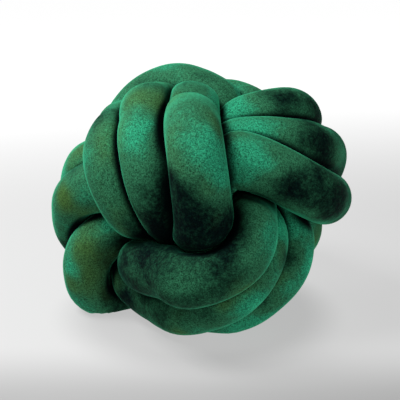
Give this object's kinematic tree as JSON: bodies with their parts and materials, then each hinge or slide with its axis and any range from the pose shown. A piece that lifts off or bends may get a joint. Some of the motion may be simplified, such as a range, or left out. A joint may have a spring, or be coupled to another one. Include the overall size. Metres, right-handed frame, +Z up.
{
  "type": "knot cushion",
  "caption": "Ball-shaped knot cushion: a long stuffed velvet tube wound and drawn up into a monkey's fist knot.",
  "frame": {"origin": "on the floor plane, under the centre of the cushion's outline", "axes": "+Z up; -Y towards the viewer of the side with the three long front passes; +X to that viewer's right"},
  "size_m": [0.304, 0.3248, 0.2502],
  "materials": {
    "velvet": "crushed velvet, short pile, deep emerald green"
  },
  "bodies": {
    "root": {"knot_tube": "velvet"}
  },
  "joints": []
}
